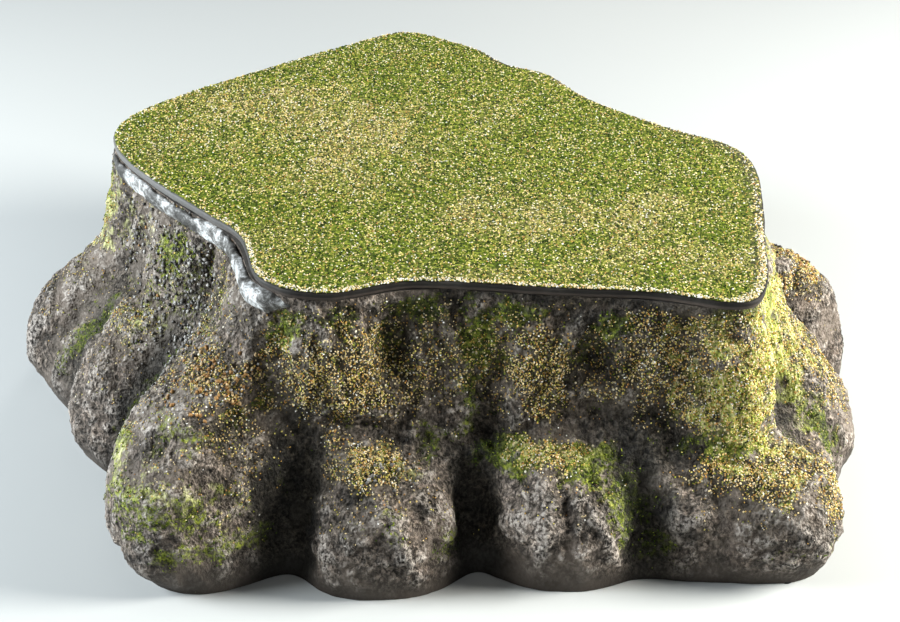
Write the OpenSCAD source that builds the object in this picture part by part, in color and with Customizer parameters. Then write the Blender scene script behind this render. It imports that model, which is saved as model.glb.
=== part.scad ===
// Rock cave ornament for a pond or a vivarium.
// A hollow ring of cast boulders carries a flat, sand and moss coated plateau.
// The plateau lifts straight off; four pegs under it drop into corbels inside the ring.
// An arched mouth in the rear wall (+Y) leads into the cave, whose underside is open.
// Millimetres. +Z is up, the long flat front faces -Y, the origin is on the ground.

/* [Overall] */
// Height of the coated plateau above the ground
plateau_h = 155; // [150:1:170]
// Uniform size factor of the plan, 1 is the real size
plan_scale = 1; // [0.9:0.01:1.1]

/* [Plateau] */
// Thickness of the plateau plate
plate_t = 4.5; // [4:0.5:8]
// Thickness of the sand and moss coat on the plate
coat_t = 1.2; // [0.8:0.1:2]
// How far the plate reaches past the wall under it
plate_lip = 1.5; // [0.5:0.5:3]
// How far the coat stays back from the plate's edge
coat_inset = 1; // [0.5:0.5:3]

/* [Ring of boulders] */
// Wall thickness between two boulders
wall_t = 9; // [7:0.5:12]
// How far the bare wall spreads out from the plateau down to the ground
flare = 44; // [35:1:50]
// Share of every boulder's bulge that is hollow from behind
hollow_share = 0.8; // [0.5:0.05:0.85]
// Width of the bond line between two castings, as an angle seen from the centre
bond_gap = 0.12; // [0.1:0.01:0.2]

/* [Cave mouth] */
// Half the mouth's width at the ground, as an angle seen from the centre
mouth_half = 14.5; // [10:0.5:15]
// Height of the arch above the ground
mouth_h = 88; // [60:1:100]

/* [Fixing] */
// Radius of a locating peg
peg_r = 4; // [3:0.5:5]
// Length of a peg below the plate
peg_l = 14; // [10:1:18]
// Radial play of a peg in its corbel
peg_play = 0.5; // [0.3:0.1:1]
// Radius of a foot pad
pad_r = 4; // [4:0.5:5]
// Thickness of a foot pad
pad_t = 1.2; // [1:0.1:2]

/* [Hidden] */

// Gap that keeps the lifting plate clear of the ring
lift_gap = 0.3;
// Top of the ring, and the underside of the plate
plate_z = plateau_h - coat_t - plate_t;
ring_top = plate_z - lift_gap;

// Outline of the plateau, counter-clockwise: a closed smooth curve runs through these points
rim_knots = plan_scale * [
    [-11, -124], [59, -130], [110, -134], [151, -143], [166, -126], [173, -76], [179, -18],
    [170, 15], [134, 39], [90, 76], [67, 108], [42, 122], [25, 142], [6, 156],
    [-25, 170], [-59, 151], [-101, 123], [-156, 82], [-187, 49], [-188, 18], [-165, -17],
    [-126, -58], [-105, -81], [-90, -122], [-56, -135]
];
// Steps of the curve between two knots
knot_steps = 6;

// One row per boulder: direction from the centre, half its width, how far it bulges out,
// heights of its crown and of its belly, how much of the bulge runs on above the crown,
// how far it leans sideways towards the top, and how much of the bulge is left at the ground.
AT = 0;
HALF = 1;
BULGE = 2;
CROWN = 3;
BELLY = 4;
RIDGE = 5;
LEAN = 6;
FOOT = 7;
left_rear    = [181, 46, 51,  78, 34, 0.24, -6, 0.56];
left         = [201, 44, 51,  82, 36, 0.30, -4, 0.62];
front_left   = [225, 62, 72, 100, 40, 0.32, -2, 0.60];
centre_left  = [262, 48, 35,  64, 32, 0.16, -2, 0.75];
front_centre = [290, 44, 28,  70, 34, 0.08,  4, 0.72];
front_right  = [317, 62, 40,  62, 34, 0.12,  4, 0.60];
right        = [341, 42, 43,  80, 36, 0.36, -4, 0.58];
right_rear   = [364, 32, 54,  92, 50, 0.05,  0, 0.78];
rear_right   = [393, 44, 36, 100, 40, 0.50,  0, 0.75];
mouth_right  = [420, 36, 34, 110, 40, 0.30,  3, 0.75];
mouth_left   = [481, 36, 26, 110, 38, 0.30, -3, 0.75];
rear_left    = [508, 46, 30, 100, 40, 0.35,  0, 0.72];
boulders = [
    left_rear, left, front_left, centre_left, front_centre, front_right,
    right, right_rear, rear_right, mouth_right, mouth_left, rear_left
];
// Directions of the valleys where two castings meet, in the order of the nodes
valleys = [164, 191, 212, 244, 276, 301, 331, 353, 377, 407, 431, 469, 494, 524];
mouth_at = 450;

// Radius at which a boulder's width is measured
width_r = 200;
// The crowns are narrower than the bellies by this share
crown_narrowing = 0.25;
// Rows of points up the wall, and degrees between two columns
wall_rows = 15;
column_step = 2.7;

// Corbels stand at these directions; the wall there faces the centre squarely
corbel_at = [400, 487, 252, 322];
corbel_half_w = 9;
corbel_depth = 22;
corbel_tail = 2.5;
corbel_h = 27;
corbel_nose_h = 18;
socket_floor = 3;
// Depth and play of the holes that hold the pegs in the plate
peg_hole_depth = 2.5;
peg_hole_play = 0.05;

// Foot pads lie under these castings' walls
pad_at = [181, 225, 262, 316, 341, 393, 420, 508];

// The bead of resin runs under the plate's edge along the left side
bead_from = 171;
bead_to = 240;
bead_r = 4.2;
bead_z = ring_top - 6.2;
bead_steps = 46;
bead_sides = 8;

function total(values) = values * [for (v = values) 1];
function polar(r, a) = [r * cos(a), r * sin(a)];
function wrap(a) = a - 360 * floor((a + 180) / 360);

// Catmull-Rom curve through four points, from the second to the third
function smooth(a, b, c, d, t) =
    0.5 * (2 * b + (c - a) * t + (2 * a - 5 * b + 4 * c - d) * t * t
        + (3 * b - a - 3 * c + d) * t * t * t);
function closed_curve(knots, steps) =
    let(n = len(knots))
    [for (i = [0:n - 1], k = [0:steps - 1])
        smooth(knots[(i + n - 1) % n], knots[i], knots[(i + 1) % n], knots[(i + 2) % n],
            k / steps)];
// Every point of a curve moved outwards from the centre
function grown(points, d) = [for (p = points) p * (1 + d / norm(p))];

rim = closed_curve(rim_knots, knot_steps);
rim_by_angle = [for (p = rim) let(a = atan2(p.y, p.x)) [a < 0 ? a + 360 : a, norm(p)]];
rim_table = concat(
    [for (e = rim_by_angle) [e[0] - 360, e[1]]],
    rim_by_angle,
    [for (e = rim_by_angle) [e[0] + 360, e[1]]]
);
function rim_r(a) = lookup(a - 360 * floor(a / 360), rim_table);

// The wall without its boulders, at a given height and with a given radius at the rim
function bare_r(z, rim) =
    rim - plate_lip + flare * min(1, 150 / rim) * pow(1 - z / plateau_h, 1.6);
// One boulder's share across its width, and up its height
function across(b, a, z) =
    let(half = b[HALF] * (1 - crown_narrowing * z / plateau_h),
        u = abs(wrap(a - b[AT] - b[LEAN] * z / plateau_h)) * PI / 180 * width_r / half)
    u < 1 ? pow(1 - u * u, 0.6) : 0;
function up(b, z) =
    z < b[BELLY] ? b[FOOT] + (1 - b[FOOT]) * sqrt(1 - pow(1 - z / b[BELLY], 2)) :
    z < b[CROWN] ? b[RIDGE] + (1 - b[RIDGE]) * pow(cos(90 * (z - b[BELLY]) / (b[CROWN] - b[BELLY])), 0.65) :
    b[RIDGE] * (plateau_h - z) / (plateau_h - b[CROWN]);
// All boulders together, blended where they meet
function bulge(a, z) =
    pow(total([for (b = boulders) pow(b[BULGE] * across(b, a, z) * up(b, z), 4)]), 0.25);
function outer_r(a, z, rim) = bare_r(z, rim) + bulge(a, z);
function inner_r(a, z, rim) = bare_r(z, rim) - wall_t + hollow_share * bulge(a, z);

// Underside of a casting: flat on its pads, or the arch over the mouth
function underside(a) =
    let(u = (a - mouth_at) / mouth_half)
    abs(u) < 1 ? pad_t + (mouth_h - pad_t) * sqrt(1 - u * u) : pad_t;
// The upright cut through the wall at one direction, as a loop of points
function wall_loop(a) =
    let(r = rim_r(a), low = underside(a), step = (ring_top - low) / (wall_rows - 1))
    concat(
        [for (i = [0:wall_rows - 1])
            let(z = low + i * step) [each polar(outer_r(a, z, r), a), z]],
        [for (i = [wall_rows - 1:-1:0])
            let(z = low + i * step) [each polar(inner_r(a, z, r), a), z]]
    );

// Closed solid through a row of loops that all have the same number of points
module skin(loops) {
    n = len(loops[0]);
    last = len(loops) - 1;
    polyhedron(
        points = [for (loop = loops) each loop],
        faces = [
            [for (i = [0:n - 1]) i],
            for (k = [0:last - 1], i = [0:n - 1])
                let(j = (i + 1) % n)
                each [
                    [k * n + i, (k + 1) * n + i, (k + 1) * n + j],
                    [k * n + i, (k + 1) * n + j, k * n + j]
                ],
            [for (i = [n - 1:-1:0]) last * n + i]
        ]
    );
}

// One casting of the ring, between two valleys
module casting(index) {
    from = valleys[index] + bond_gap / 2;
    to = valleys[index + 1] - bond_gap / 2;
    columns = ceil((to - from) / column_step);
    skin([for (i = [0:columns]) wall_loop(from + (to - from) * i / columns)]);
}

// The casting with the mouth: its columns crowd together where the arch stands steep
module cave_arch() {
    from = valleys[10] + bond_gap / 2;
    to = valleys[11] - bond_gap / 2;
    arch_columns = 18;
    color("dimgray")
        skin([
            wall_loop(from),
            for (i = [0:arch_columns])
                wall_loop(mouth_at - mouth_half * cos(180 * i / arch_columns)),
            wall_loop(to)
        ]);
}

module left_rear_boulder() { color("darkgray") casting(0); }
module left_boulder() { color("gray") casting(1); }
module front_left_boulder() { color("darkgray") casting(2); }
module centre_left_boulder() { color("dimgray") casting(3); }
module front_centre_boulder() { color("gray") casting(4); }
module front_right_boulder() { color("darkgray") casting(5); }
module right_boulder() { color("gray") casting(6); }
module right_rear_boulder() { color("darkgray") casting(7); }
module rear_right_boulder() { color("dimgray") casting(8); }
module mouth_right_boulder() { color("gray") casting(9); }
module mouth_left_boulder() { color("gray") casting(11); }
module rear_left_boulder() { color("darkgray") casting(12); }

// The bead swells and thins along its length, and tapers to both ends
module rim_bead() {
    function thickness(s) =
        bead_r * min(1, 0.35 + 6 * s * (1 - s)) * (1 + 0.18 * sin(1150 * s) - 0.1 * sin(2500 * s));
    function section(s) =
        let(a = bead_from + (bead_to - bead_from) * s, t = thickness(s),
            r = outer_r(a, bead_z, rim_r(a)))
        [for (k = [0:bead_sides - 1])
            let(turn = -360 * k / bead_sides)
            [each polar(r + t * cos(turn), a), bead_z + t * sin(turn)]];
    color("gainsboro")
        skin([for (i = [0:bead_steps]) section(i / bead_steps)]);
}

// Direction and distance of a corbel's peg from the centre
function peg_dist(a) = inner_r(a, ring_top, rim_r(a)) - corbel_depth / 2;

// A bracket let into the wall's inside, with a blind socket for a peg
module corbel(index) {
    a = corbel_at[index];
    peg = peg_dist(a);
    back = peg + corbel_depth / 2 + corbel_tail;
    nose = peg - corbel_depth / 2;
    socket_z = ring_top - peg_l - socket_floor;
    color("slategray")
        rotate([0, 0, a])
        difference() {
            translate([0, corbel_half_w, 0])
                rotate([90, 0, 0])
                linear_extrude(2 * corbel_half_w)
                polygon([
                    [nose, ring_top],
                    [nose, ring_top - corbel_nose_h],
                    [back, ring_top - corbel_h],
                    [back, ring_top]
                ]);
            translate([peg, 0, socket_z])
                cylinder(r = peg_r + peg_play, h = ring_top - socket_z + 1, $fn = 48);
        }
}

module foot_pad(index) {
    a = pad_at[index];
    r = rim_r(a);
    middle = (outer_r(a, pad_t, r) + inner_r(a, pad_t, r)) / 2;
    color("black")
        translate(polar(middle, a))
        cylinder(r = pad_r, h = pad_t, $fn = 40);
}

module peg(index) {
    a = corbel_at[index];
    color("darkgray")
        translate([each polar(peg_dist(a), a), plate_z - peg_l])
        cylinder(r = peg_r, h = peg_l + peg_hole_depth, $fn = 48);
}

module plateau_plate() {
    color("darkslategray")
        difference() {
            translate([0, 0, plate_z])
                linear_extrude(plate_t)
                polygon(rim);
            for (a = corbel_at)
                translate([each polar(peg_dist(a), a), plate_z - 1])
                    cylinder(r = peg_r + peg_hole_play, h = peg_hole_depth + 1, $fn = 48);
        }
}

module turf_coat() {
    color("olivedrab")
        translate([0, 0, plate_z + plate_t])
        linear_extrude(coat_t)
        polygon(grown(rim, -coat_inset));
}

left_rear_boulder();
left_boulder();
front_left_boulder();
centre_left_boulder();
front_centre_boulder();
front_right_boulder();
right_boulder();
right_rear_boulder();
rear_right_boulder();
mouth_right_boulder();
cave_arch();
mouth_left_boulder();
rear_left_boulder();
rim_bead();
corbel(0);  // corbel_rear_right
corbel(1);  // corbel_rear_left
corbel(2);  // corbel_front_left
corbel(3);  // corbel_front_right
foot_pad(0);  // foot_pad_1
foot_pad(1);  // foot_pad_2
foot_pad(2);  // foot_pad_3
foot_pad(3);  // foot_pad_4
foot_pad(4);  // foot_pad_5
foot_pad(5);  // foot_pad_6
foot_pad(6);  // foot_pad_7
foot_pad(7);  // foot_pad_8
plateau_plate();
turf_coat();
peg(0);  // peg_rear_right
peg(1);  // peg_rear_left
peg(2);  // peg_front_left
peg(3);  // peg_front_right
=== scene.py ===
"""Looks of the rock cave ornament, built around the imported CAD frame.

The outer and inner faces of the ring are read from the frame's castings by casting rays, smoothed, and given
the relief of weathered rock. Sand grains and moss are laid on them as real pieces, denser where the patches
below say so. Lengths are metres unless a name ends in _mm or a comment says otherwise; directions are degrees
seen from the origin, counter-clockwise from +X.
"""

import math

import bpy
import numpy as np
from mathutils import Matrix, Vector, noise
from mathutils.bvhtree import BVHTree


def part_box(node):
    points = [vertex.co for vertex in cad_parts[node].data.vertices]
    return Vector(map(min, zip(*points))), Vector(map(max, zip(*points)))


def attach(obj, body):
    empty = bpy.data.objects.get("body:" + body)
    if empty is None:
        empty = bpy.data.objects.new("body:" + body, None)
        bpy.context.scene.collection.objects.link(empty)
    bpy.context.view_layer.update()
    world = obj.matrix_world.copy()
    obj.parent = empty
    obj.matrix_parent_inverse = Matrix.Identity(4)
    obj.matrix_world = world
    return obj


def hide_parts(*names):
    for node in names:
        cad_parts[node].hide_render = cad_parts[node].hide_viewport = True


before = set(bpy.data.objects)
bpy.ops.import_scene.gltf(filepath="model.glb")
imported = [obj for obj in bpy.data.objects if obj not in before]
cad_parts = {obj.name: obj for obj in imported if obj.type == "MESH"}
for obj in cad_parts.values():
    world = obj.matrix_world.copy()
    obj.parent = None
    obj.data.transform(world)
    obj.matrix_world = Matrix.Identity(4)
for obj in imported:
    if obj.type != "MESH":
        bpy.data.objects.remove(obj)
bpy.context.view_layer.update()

MM = 0.001
RNG = np.random.default_rng(41)

# The castings in order round the ring, counter-clockwise
CASTINGS = (
    "left_rear_boulder", "left_boulder", "front_left_boulder", "centre_left_boulder",
    "front_centre_boulder", "front_right_boulder", "right_boulder", "right_rear_boulder",
    "rear_right_boulder", "mouth_right_boulder", "cave_arch", "mouth_left_boulder", "rear_left_boulder",
)
RING, LID = "ring", "lid"

# Grid of the wall: degrees between two columns, rows up the outer and the inner face
COLUMN_STEP = 0.36
OUTER_ROWS = 150
INNER_ROWS = 36
# Blur of the two faces, in columns and rows, and the length of a degree on the wall where ribs are drawn
OUTER_BLUR = (6.5, 5)
INNER_BLUR = (2.5, 1.2)
MM_PER_DEGREE = 3.5

# Lumps: direction, height in mm, half width in degrees, half height in mm, relief in mm (hollows below 0)
LUMPS = (
    (228, 98, 8, 14, 5), (221, 74, 5, 14, 3), (231, 60, 5, 12, 3), (256, 63, 7, 9, 6), (266, 52, 5, 9, 3),
    (290, 62, 8, 8, 3), (324, 50, 6, 14, 5), (311, 44, 4, 10, -4), (256, 104, 5, 28, 5),
    (291, 108, 5, 28, 5), (276, 86, 4, 20, 3), (338, 70, 6, 16, 3), (196, 76, 6, 10, 4),
    (178, 70, 5, 10, 3), (361, 76, 6, 12, 3), (322, 100, 5, 30, 3), (256, 80, 6, 6, -3),
    (34, 75, 8, 16, 4), (60, 82, 6, 14, 4), (121, 85, 7, 14, 4), (148, 72, 8, 18, 5),
    (92, 122, 10, 13, 3), (246, 36, 4, 26, -2), (246, 106, 8, 26, 5), (275, 28, 4, 26, -4),
    (303, 30, 4, 24, -4), (263, 120, 4, 20, -7), (283, 76, 5, 10, -5), (300, 82, 5, 8, -4),
    (301, 112, 4, 14, -6), (308, 84, 5, 10, -4), (284, 104, 3, 18, -3), (237, 98, 3, 44, -4),
    (225, 50, 14, 36, 5), (260, 32, 9, 22, 6), (290, 36, 8, 24, 6), (318, 32, 11, 22, 6),
    (327, 75, 3, 34, -4), (208, 118, 3, 36, -3), (187, 60, 3, 40, -4), (211, 60, 3, 40, -4),
    (165, 96, 3, 44, -3), (134, 60, 3, 50, -4), (20, 60, 3, 50, -4), (47, 70, 3, 44, -3),
    (72, 80, 3, 40, -3), (110, 76, 3, 40, -3), (352, 60, 3, 40, -4),
)
# Dark wash and painted shade in the hollows, and painted shadow along the wall's top under the plate's edge:
# direction, height in mm, half width in degrees, half height in mm, strength
WASHES_AND_SHADE = (
    *((at, 60, 3, 44, 0.6) for at in (20, 47, 72, 110, 134, 164)),
    (268, 139, 26, 9, 0.7), (276, 112, 28, 26, 0.3), (246, 74, 6, 24, 0.5), (298, 147, 34, 5, 0.8),
    (302, 137, 13, 10, 0.7), (246, 38, 4, 30, 0.8), (275, 30, 3, 28, 0.7), (303, 34, 4, 30, 0.75),
    (283, 80, 5, 12, 0.6), (263, 118, 4, 20, 0.9), (301, 84, 5, 9, 0.4), (302, 112, 4, 12, 0.8),
    (247, 72, 4, 8, 0.4), (314, 38, 8, 14, 0.35), (258, 40, 5, 20, 0.35), (212, 70, 3, 40, 0.6),
    (209, 104, 5, 24, 0.35), (189, 50, 3, 36, 0.6), (352, 50, 3, 40, 0.5), (332, 50, 3, 30, 0.5),
)
# Ribs: direction and height in mm of both ends, half width in degrees, relief in mm (below 0: a groove)
RIBS = (
    (257, 58, 269, 4, 1.7, 2.6), (251, 46, 256, 6, 1.5, 1.8), (263, 44, 273, 14, 1.2, -2.2),
    (289, 52, 286, 8, 1.3, 1.8), (293, 48, 297, 8, 1.3, 2.0), (291, 50, 290, 12, 0.8, -1.8),
    (268, 96, 262, 62, 1.5, 2.2), (222, 60, 230, 52, 2.4, 2.4), (224, 88, 236, 70, 1.8, 2.0),
    (246, 140, 252, 92, 1.6, 2.2), (272, 138, 276, 98, 1.6, 1.8), (298, 136, 293, 96, 1.6, 2.0),
    (199, 62, 205, 24, 1.6, 1.6), (336, 40, 340, 8, 1.6, 1.8), (180, 52, 184, 20, 1.8, 1.6),
    (186, 140, 183, 96, 1.4, 1.8), (192, 136, 190, 90, 1.3, 1.6), (314, 138, 318, 90, 1.4, 1.8),
    (330, 140, 334, 96, 1.4, 2.0), (340, 136, 342, 92, 1.3, 1.8), (350, 130, 352, 90, 1.4, 1.8),
    (40, 120, 33, 60, 1.6, 2.2), (128, 128, 122, 70, 1.6, 2.2), (152, 120, 147, 60, 1.8, 2.4),
    (66, 126, 61, 70, 1.5, 2.0), (10, 130, 6, 80, 1.6, 2.0),
)
# Cover on the wall: direction, height in mm, half width in degrees, half height in mm, density
SAND = (
    (256, 63, 9, 9, 1), (255, 108, 8, 30, 1), (275, 112, 42, 28, 0.55), (246, 104, 13, 30, 0.9),
    (263, 96, 7, 20, 0.7), (290, 65, 7, 7, 1.1), (258, 60, 9, 8, 1.1), (291, 106, 7, 28, 1),
    (229, 102, 8, 11, 0.9), (270, 112, 4, 24, 0.6), (308, 112, 5, 33, 0.85), (318, 104, 11, 46, 1),
    (313, 90, 9, 22, 0.85), (302, 100, 5, 12, 0.6), (322, 44, 4, 14, 0.9), (317, 58, 8, 9, 1.1),
    (338, 98, 9, 38, 0.8), (341, 62, 7, 16, 0.8), (195, 78, 6, 8, 0.5), (173, 106, 5, 33, 0.4),
    (362, 76, 8, 11, 1), (385, 82, 9, 54, 0.6), (240, 62, 3, 26, 0.35), (34, 92, 9, 28, 0.8),
    (60, 102, 7, 30, 0.7), (93, 132, 14, 14, 0.8), (121, 102, 8, 30, 0.8), (148, 98, 10, 30, 0.8),
    (11, 112, 8, 30, 0.7), (216, 112, 5, 30, 0.4), (262, 84, 6, 8, 0.5), (236, 86, 4, 14, 0.5),
)
MOSS = (
    (198, 122, 5, 18, 0.8), (209, 56, 2, 34, 0.9), (188, 58, 2, 26, 0.8), (240, 128, 4, 11, 1),
    (250, 138, 6, 6, 0.6), (266, 139, 6, 8, 1), (278, 118, 40, 20, 0.3), (279, 124, 5, 22, 1),
    (287, 139, 6, 8, 1), (304, 132, 3, 11, 0.9), (282, 62, 7, 9, 1), (297, 61, 7, 9, 1),
    (300, 42, 4, 20, 0.8), (303, 20, 3, 10, 0.7), (229, 80, 7, 6, 0.5), (229, 48, 11, 13, 0.62),
    (237, 27, 6, 9, 0.62), (220, 62, 4, 10, 0.6), (315, 70, 6, 8, 1), (331, 46, 3, 26, 1),
    (277, 88, 3, 24, 0.7), (268, 68, 3, 12, 0.6), (272, 22, 3, 18, 0.5), (20, 60, 4, 40, 0.9),
    (47, 80, 4, 40, 0.9), (72, 110, 5, 30, 0.8), (110, 100, 4, 40, 0.9), (134, 70, 4, 44, 0.9),
    (165, 90, 4, 40, 0.8), (93, 104, 10, 8, 0.7), (262, 40, 4, 8, 0.4), (352, 60, 3, 34, 0.9),
    (172, 116, 4, 26, 0.7), (322, 24, 8, 7, 0.4), (204, 108, 14, 32, 0.36), (218, 118, 6, 22, 0.4),
    (197, 84, 6, 12, 0.4),
)
LIME = (
    (326, 112, 10, 50, 1), (318, 100, 7, 46, 0.85), (338, 112, 8, 44, 0.68), (348, 100, 7, 48, 0.48),
    (385, 84, 10, 60, 0.5), (317, 78, 5, 12, 0.6), (360, 90, 7, 6, 0.5), (175, 112, 6, 38, 0.5),
    (10, 118, 10, 32, 0.5), (40, 110, 8, 36, 0.4), (150, 112, 12, 34, 0.4), (222, 58, 7, 12, 0.5),
    (290, 66, 12, 7, 0.5), (264, 58, 9, 6, 0.4), (324, 60, 8, 8, 0.5), (257, 66, 7, 5, 0.4),
    (200, 84, 5, 6, 0.4), (186, 120, 9, 24, 0.32), (232, 58, 8, 8, 0.4),
)
# Nodules of bare stone, and brown gravel: the same numbers
NODULES = (
    (200, 118, 9, 24, 0.8), (206, 104, 5, 30, 1), (213, 96, 4, 28, 0.9), (196, 88, 7, 9, 0.5),
    (188, 116, 5, 24, 0.5), (262, 62, 5, 14, 0.3), (160, 110, 9, 26, 0.6), (28, 112, 8, 24, 0.5),
)
GRAVEL = ((230, 102, 7, 11, 1.1), (223, 90, 5, 6, 0.5), (362, 78, 7, 9, 0.5), (146, 84, 8, 9, 0.7))
# Drifts of pale sand on the turf: centre x and y, half lengths along x and y in mm, density
DRIFTS = (
    (-105, 52, 60, 46, 0.9), (-50, 28, 46, 48, 1), (-60, -22, 44, 24, 0.6), (45, -70, 56, 26, 1),
    (96, -62, 36, 34, 0.8), (112, -98, 50, 18, 0.7), (30, 58, 16, 24, 0.5), (152, -106, 22, 16, 0.9),
    (-72, 86, 46, 18, 0.7), (40, -118, 70, 10, 0.7), (-92, -96, 20, 22, 0.5), (0, 20, 14, 14, 0.2),
)
# Swellings of the resin bead: direction, half width in degrees, extra thickness in mm, whiteness
BEAD_SWELLS = (
    (174, 5, -0.6, 0.3), (184, 6, 0.9, 0.95), (193, 6, 0.3, 0.7), (200, 5, -0.4, 0.3),
    (207, 6, 1.6, 0.9), (215, 5, 0.6, 0.6), (224, 6, 1.6, 0.95), (232, 5, 2.2, 1.0), (237, 4, 0.8, 0.7),
)

# Top of the band of smooth, darker rock at the foot, and where the relief dies away under the plate, in mm
FOOT_BAND_MM = 25
RELIEF_TOP_MM = (142, 149)
# The least thickness of wall that the relief leaves
THINNEST_WALL = 4 * MM
# Rays and the bead keep this far below the castings' top, and rays this far above their foot
MARGIN = 0.2 * MM
# Height of the relief's lowest points off the ground
FOOT_Z = 0.3 * MM
# Columns lower than this stand on the ground and not over the mouth
ON_GROUND = 5 * MM
# Steps from one direction to the next round the edge of the plate and of the turf, in degrees
LID_STEP = 0.5
# Sections along the bead, and corners of each
BEAD_STATIONS = 420
BEAD_SIDES = 20


# ---------------------------------------------------------------- helpers

def polar(radius, degrees, z):
    """Points at a radius and a direction; z is one height, or one for each point."""
    a = np.radians(degrees)
    return np.stack([radius * np.cos(a), radius * np.sin(a), z + 0 * radius], axis=-1)


def turn_between(a, b):
    """a - b in degrees, wrapped to -180..180."""
    return (a - b + 180) % 360 - 180


def smoothstep(x, low, high):
    t = np.clip((x - low) / (high - low), 0, 1)
    return t * t * (3 - 2 * t)


def sampled(points, function):
    """function of every point, as an array."""
    flat = points.reshape(-1, 3)
    values = np.fromiter((function(p) for p in flat.tolist()), float, len(flat))
    return values.reshape(points.shape[:-1])


def fractal(points, rise=0.8, gap=2.1, octaves=3):
    """Fractal noise at every point."""
    return sampled(points, lambda p: noise.fractal(p, rise, gap, octaves))


def gaussian(grid, sigma, axis, wraps):
    """grid blurred along one axis by sigma cells; unless the axis wraps, it goes on evenly past its ends."""
    reach = int(3 * sigma)
    weights = np.exp(-0.5 * (np.arange(-reach, reach + 1) / sigma) ** 2)
    weights /= weights.sum()
    pad = [(0, 0)] * grid.ndim
    pad[axis] = (reach, reach)
    how = {"mode": "wrap"} if wraps else {"mode": "reflect", "reflect_type": "odd"}
    padded = np.pad(grid, pad, **how)
    size = grid.shape[axis]
    return sum(w * np.take(padded, range(k, k + size), axis=axis) for k, w in enumerate(weights))


def blurred(grid, columns, rows):
    """grid [row, column] blurred both ways; the columns wrap round the ring."""
    return gaussian(gaussian(grid, columns, 1, True), rows, 0, False)


def grid_normals(points):
    """Outward normals of a grid [row, column] whose columns wrap round the ring."""
    along = np.roll(points, -1, axis=1) - np.roll(points, 1, axis=1)
    upward = np.gradient(points, axis=0)
    normals = np.cross(along, upward)
    return normals / (np.linalg.norm(normals, axis=-1, keepdims=True) + 1e-12)


def new_mesh(name, points, faces, materials, indices=None, smooth=True):
    """An object from points, a list of face arrays (each with rows of one length), and materials."""
    mesh = bpy.data.meshes.new(name)
    sizes = np.concatenate([np.full(len(f), f.shape[1]) for f in faces])
    loops = np.concatenate([f.reshape(-1) for f in faces])
    mesh.vertices.add(len(points))
    mesh.vertices.foreach_set("co", np.ascontiguousarray(points, dtype=np.float32).reshape(-1))
    mesh.loops.add(len(loops))
    mesh.loops.foreach_set("vertex_index", loops.astype(np.int32))
    mesh.polygons.add(len(sizes))
    starts = np.concatenate([[0], np.cumsum(sizes)[:-1]])
    mesh.polygons.foreach_set("loop_start", starts.astype(np.int32))
    for material in materials:
        mesh.materials.append(material)
    if indices is not None:
        mesh.polygons.foreach_set("material_index", indices.astype(np.int32))
    mesh.polygons.foreach_set("use_smooth", np.full(len(sizes), smooth))
    mesh.update(calc_edges=True)
    mesh.validate()
    piece = bpy.data.objects.new(name, mesh)
    bpy.context.scene.collection.objects.link(piece)
    return piece


def paint(piece, name, colours):
    """A colour attribute with four numbers for each point."""
    layer = piece.data.color_attributes.new(name, "FLOAT_COLOR", "POINT")
    layer.data.foreach_set("color", colours.astype(np.float32).reshape(-1))


def closed_quads(ids):
    """Quads between rings of point numbers, each ring closed on itself."""
    following = np.roll(ids, -1, axis=1)
    return np.stack([ids[:-1], following[:-1], following[1:], ids[1:]], axis=-1).reshape(-1, 4)


def open_quads(ids):
    """Quads between rows of point numbers."""
    return np.stack([ids[:-1, :-1], ids[:-1, 1:], ids[1:, 1:], ids[1:, :-1]], axis=-1).reshape(-1, 4)


def quad_crosses(points, quads):
    """Normals of quads, each twice as long as the quad's area."""
    corners = points[quads]
    return np.cross(corners[:, 2] - corners[:, 0], corners[:, 3] - corners[:, 1])


def zipper(left, right, left_t, right_t):
    """Triangles between two rows of point numbers, each with its place from 0 to 1."""
    triangles, i, j = [], 0, 0
    while i < len(left) - 1 or j < len(right) - 1:
        if j == len(right) - 1 or (i < len(left) - 1 and left_t[i + 1] <= right_t[j + 1]):
            triangles.append((left[i], left[i + 1], right[j]))
            i += 1
        else:
            triangles.append((left[i], right[j + 1], right[j]))
            j += 1
    return np.array(triangles)


def patches(table, angles, heights_mm, wobble):
    """The strongest of a table's patches at each point; wobble breaks their edges up."""
    found = np.zeros_like(heights_mm)
    for at, height, half_w, half_h, strength in table:
        off = np.hypot(turn_between(angles, at) / half_w, (heights_mm - height) / half_h)
        found = np.maximum(found, strength * smoothstep(1.4 - off + 1.3 * wobble, 0, 1.1))
    return found


# ---------------------------------------------------------------- materials

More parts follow.
